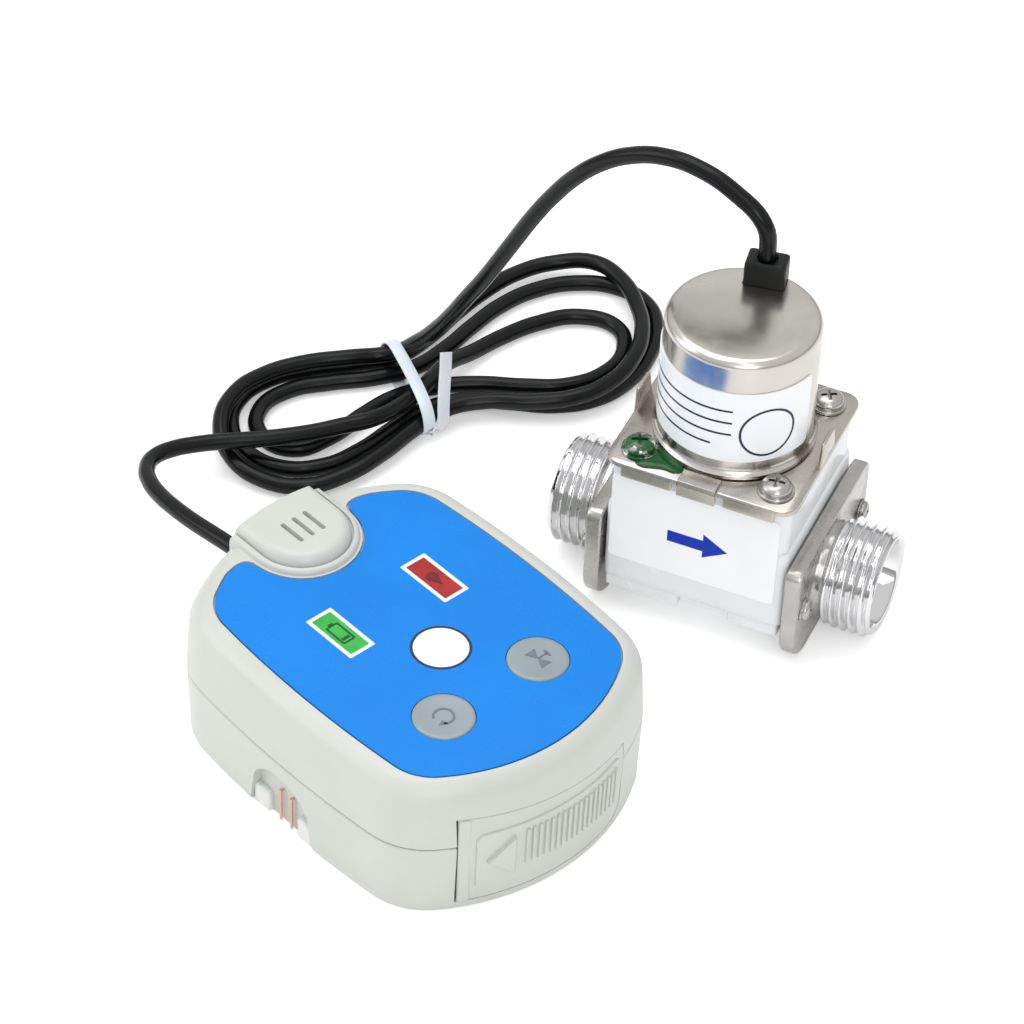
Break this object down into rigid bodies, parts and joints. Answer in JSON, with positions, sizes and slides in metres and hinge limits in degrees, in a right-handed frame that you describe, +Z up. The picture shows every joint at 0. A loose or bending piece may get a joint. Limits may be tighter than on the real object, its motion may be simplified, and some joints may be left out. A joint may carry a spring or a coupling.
{
  "type": "water leak sensor",
  "caption": "Oval battery-powered floor leak sensor with an arched probe recess, joined by a hanked cable to a solenoid shut-off valve with threaded end fittings.",
  "frame": {"origin": "on the floor, at the middle of the sensor's and the valve's shared box, without the cable", "axes": "+X along the valve's flow from inlet to outlet, +Y from the sensor towards the valve, +Z up"},
  "size_m": [0.1412, 0.1661, 0.0842],
  "materials": {
    "case_plastic": "fine satin moulding",
    "overlay_blue": "glossy film",
    "window_red": "glossy",
    "window_green": "glossy",
    "button_grey": "soft gloss",
    "board_green": "lacquered",
    "black_plastic": "satin",
    "black_rubber": "soft gloss",
    "valve_plastic": "glossy",
    "stainless": "drawn and tumbled",
    "chrome": "plated",
    "copper": "bare wire",
    "label_white": "coated film",
    "cell_wrap": "shrink film",
    "winding": "enamelled",
    "tie_white": "matt"
  },
  "bodies": {
    "unit": {"upper_case": "case_plastic", "lower_case": "case_plastic", "overlay_label": "overlay_blue", "leak_window": "window_red", "battery_window": "window_green", "circuit_board": "board_green", "buzzer": "black_plastic", "leak_led": "window_red", "battery_led": "window_green", "close_switch": "black_plastic", "reset_switch": "black_plastic", "battery_cradle": "black_plastic", "battery_1": "cell_wrap", "battery_2": "cell_wrap", "battery_3": "cell_wrap", "contact_rear": "stainless", "probe_block": "button_grey", "probe_pin_left": "copper", "probe_pin_right": "copper", "cable_gland": "black_rubber", "case_screw_1": "stainless", "case_screw_2": "stainless", "case_screw_3": "stainless", "case_screw_4": "stainless", "valve_body": "valve_plastic", "cover_plate": "stainless", "solenoid_can": "stainless", "can_label": "label_white", "flow_label": "label_white", "strain_relief": "black_rubber", "coil_bobbin": "black_plastic", "coil_winding": "winding", "core_tube": "stainless", "plunger_spring": "stainless", "diaphragm": "black_rubber", "inlet_fitting": "chrome", "outlet_fitting": "chrome", "inlet_seal": "black_rubber", "outlet_seal": "black_rubber", "cover_screw_1": "stainless", "cover_screw_2": "stainless", "cover_screw_3": "stainless", "cover_screw_4": "stainless", "flange_screw_1": "chrome", "flange_screw_2": "chrome", "flange_screw_3": "chrome", "flange_screw_4": "chrome", "cable_to_sensor": "black_rubber", "cable_to_valve": "black_rubber", "cable_hank": "black_rubber", "cable_tie": "tie_white"},
    "door": {"battery_door": "case_plastic", "contact_front": "stainless"},
    "close_key": {"close_button": "button_grey"},
    "reset_key": {"reset_button": "button_grey"},
    "plunger": {"plunger": "stainless"}
  },
  "joints": [
    {"name": "door_slide", "type": "slide", "parent": "unit", "child": "door", "axis": [0.9135, -0.4067, 0], "range_m": [0, 0.03]},
    {"name": "close_press", "type": "slide", "parent": "unit", "child": "close_key", "axis": [0, 0, -1], "range_m": [0, 0.0005], "stiffness_N_per_m": 400},
    {"name": "reset_press", "type": "slide", "parent": "unit", "child": "reset_key", "axis": [0, 0, -1], "range_m": [0, 0.0005], "stiffness_N_per_m": 400},
    {"name": "plunger_lift", "type": "slide", "parent": "unit", "child": "plunger", "axis": [0, 0, 1], "range_m": [0, 0.0015], "stiffness_N_per_m": 150, "deforming": ["plunger_spring"]}
  ]
}
